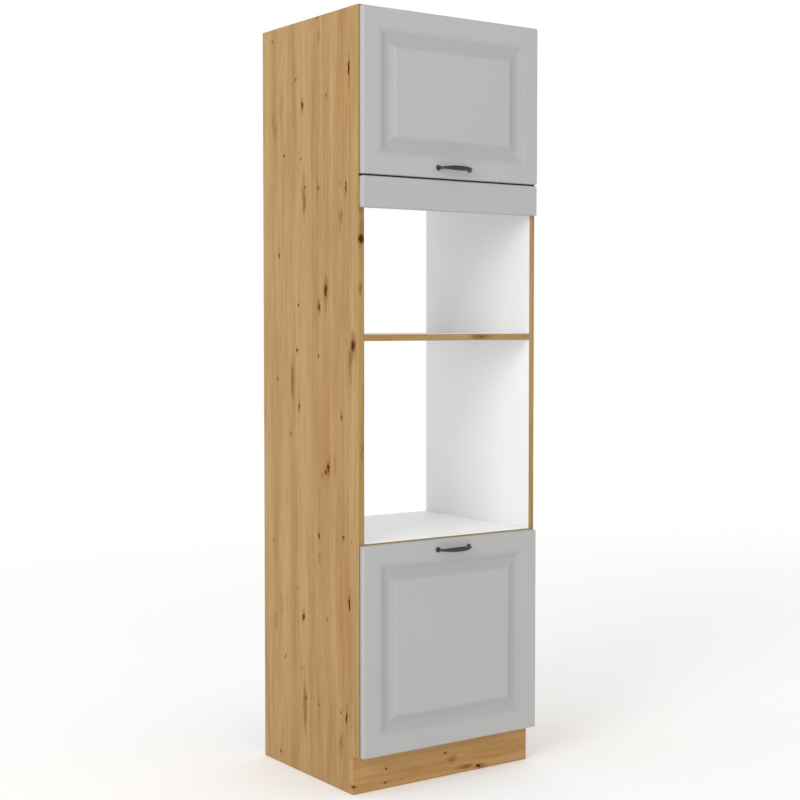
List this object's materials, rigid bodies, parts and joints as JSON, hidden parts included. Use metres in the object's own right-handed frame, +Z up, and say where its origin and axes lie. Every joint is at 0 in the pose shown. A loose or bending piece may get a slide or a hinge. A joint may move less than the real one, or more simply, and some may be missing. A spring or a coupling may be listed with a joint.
{
  "type": "tall oven housing unit",
  "caption": "Tall kitchen cabinet with open niches for a built-in oven and a microwave, a lift-up flap above and a deep drawer below.",
  "frame": {"origin": "floor level, under the middle of the whole unit with handles and back panels", "axes": "+Z up, +X to the right seen from the front, the fronts face -Y"},
  "size_m": [0.6, 0.553, 2.1],
  "materials": {
    "oak_decor": "printed oak decor on chipboard, satin, knots and fine pores",
    "white_laminate": "white melamine-faced chipboard, satin",
    "white_hardboard": "white-lacquered thin hardboard, matt back",
    "grey_foil": "light grey foil-wrapped fibreboard, satin",
    "graphite_metal": "dark graphite cast metal, brushed satin lacquer",
    "zinc_steel": "zinc-plated pressed steel",
    "nickel_steel": "nickel-plated steel, bright",
    "strut_paint": "light grey lacquered steel tube",
    "clear_pad": "clear soft polyurethane"
  },
  "bodies": {
    "carcass": {"left_side_panel": "oak_decor", "right_side_panel": "oak_decor", "top_panel": "oak_decor", "cupboard_floor": "white_laminate", "microwave_shelf": "white_laminate", "oven_shelf": "white_laminate", "base_panel": "white_laminate", "upper_back_panel": "white_hardboard", "lower_back_panel": "white_hardboard", "plinth_board": "oak_decor", "fascia_panel": "grey_foil", "fascia_bracket_left": "zinc_steel", "plinth_bracket_left": "zinc_steel", "wall_bracket_left": "zinc_steel", "hinge_arm_left": "nickel_steel", "hinge_plate_left": "nickel_steel", "strut_wall_bracket_left": "zinc_steel", "runner_outer_left": "zinc_steel", "fascia_bracket_right": "zinc_steel", "plinth_bracket_right": "zinc_steel", "wall_bracket_right": "zinc_steel", "hinge_arm_right": "nickel_steel", "hinge_plate_right": "nickel_steel", "strut_wall_bracket_right": "zinc_steel", "runner_outer_right": "zinc_steel"},
    "flap": {"upper_flap": "grey_foil", "upper_handle": "graphite_metal", "upper_handle_screw_left": "zinc_steel", "flap_pad_left": "clear_pad", "hinge_cup_left": "nickel_steel", "strut_flap_bracket_left": "zinc_steel", "upper_handle_screw_right": "zinc_steel", "flap_pad_right": "clear_pad", "hinge_cup_right": "nickel_steel", "strut_flap_bracket_right": "zinc_steel"},
    "drawer": {"drawer_front": "grey_foil", "lower_handle": "graphite_metal", "drawer_box_front": "white_laminate", "drawer_box_back": "white_laminate", "drawer_bottom": "white_hardboard", "lower_handle_screw_left": "zinc_steel", "drawer_pad_left": "clear_pad", "drawer_side_left": "white_laminate", "runner_inner_left": "zinc_steel", "lower_handle_screw_right": "zinc_steel", "drawer_pad_right": "clear_pad", "drawer_side_right": "white_laminate", "runner_inner_right": "zinc_steel"},
    "hinge_link_left": {"hinge_link_left": "nickel_steel"},
    "strut_barrel_left": {"strut_barrel_left": "strut_paint"},
    "strut_rod_left": {"strut_rod_left": "nickel_steel"},
    "runner_middle_left": {"runner_middle_left": "zinc_steel"},
    "hinge_link_right": {"hinge_link_right": "nickel_steel"},
    "strut_barrel_right": {"strut_barrel_right": "strut_paint"},
    "strut_rod_right": {"strut_rod_right": "nickel_steel"},
    "runner_middle_right": {"runner_middle_right": "zinc_steel"}
  },
  "joints": [
    {"name": "flap_lift", "type": "hinge", "parent": "carcass", "child": "flap", "pos_m": [0, -0.23933, 2.091], "axis": [-1, 0, 0], "range_deg": [0, 100]},
    {"name": "drawer_slide", "type": "slide", "parent": "carcass", "child": "drawer", "axis": [0, -1, 0], "range_m": [0, 0.44]},
    {"name": "hinge_link_turn_left", "type": "hinge", "parent": "carcass", "child": "hinge_link_left", "pos_m": [-0.2, -0.23283, 2.068], "axis": [-1, 0, 0], "range_deg": [-42, 0]},
    {"name": "strut_swing_left", "type": "hinge", "parent": "carcass", "child": "strut_barrel_left", "pos_m": [-0.267, -0.19682, 2.06], "axis": [-1, 0, 0], "range_deg": [0, 93]},
    {"name": "strut_stroke_left", "type": "slide", "parent": "strut_barrel_left", "child": "strut_rod_left", "axis": [0, -0.1144, -0.9934], "range_m": [0, 0.0775]},
    {"name": "runner_slide_left", "type": "slide", "parent": "carcass", "child": "runner_middle_left", "axis": [0, -1, 0], "range_m": [0, 0.22]},
    {"name": "hinge_link_turn_right", "type": "hinge", "parent": "carcass", "child": "hinge_link_right", "pos_m": [0.2, -0.23283, 2.068], "axis": [-1, 0, 0], "range_deg": [-42, 0]},
    {"name": "strut_swing_right", "type": "hinge", "parent": "carcass", "child": "strut_barrel_right", "pos_m": [0.267, -0.19682, 2.06], "axis": [-1, 0, 0], "range_deg": [0, 93]},
    {"name": "strut_stroke_right", "type": "slide", "parent": "strut_barrel_right", "child": "strut_rod_right", "axis": [0, -0.1144, -0.9934], "range_m": [0, 0.0775]},
    {"name": "runner_slide_right", "type": "slide", "parent": "carcass", "child": "runner_middle_right", "axis": [0, -1, 0], "range_m": [0, 0.22]}
  ],
  "couplings": [
    {"joint": "hinge_link_turn_left", "follows": "flap_lift", "ratio": -0.4168},
    {"joint": "strut_swing_left", "follows": "flap_lift", "ratio": 0.9255},
    {"joint": "strut_stroke_left", "follows": "flap_lift", "m_per_rad": 0.044316},
    {"joint": "runner_slide_left", "follows": "drawer_slide", "ratio": 0.5},
    {"joint": "hinge_link_turn_right", "follows": "flap_lift", "ratio": -0.4168},
    {"joint": "strut_swing_right", "follows": "flap_lift", "ratio": 0.9255},
    {"joint": "strut_stroke_right", "follows": "flap_lift", "m_per_rad": 0.044316},
    {"joint": "runner_slide_right", "follows": "drawer_slide", "ratio": 0.5}
  ]
}
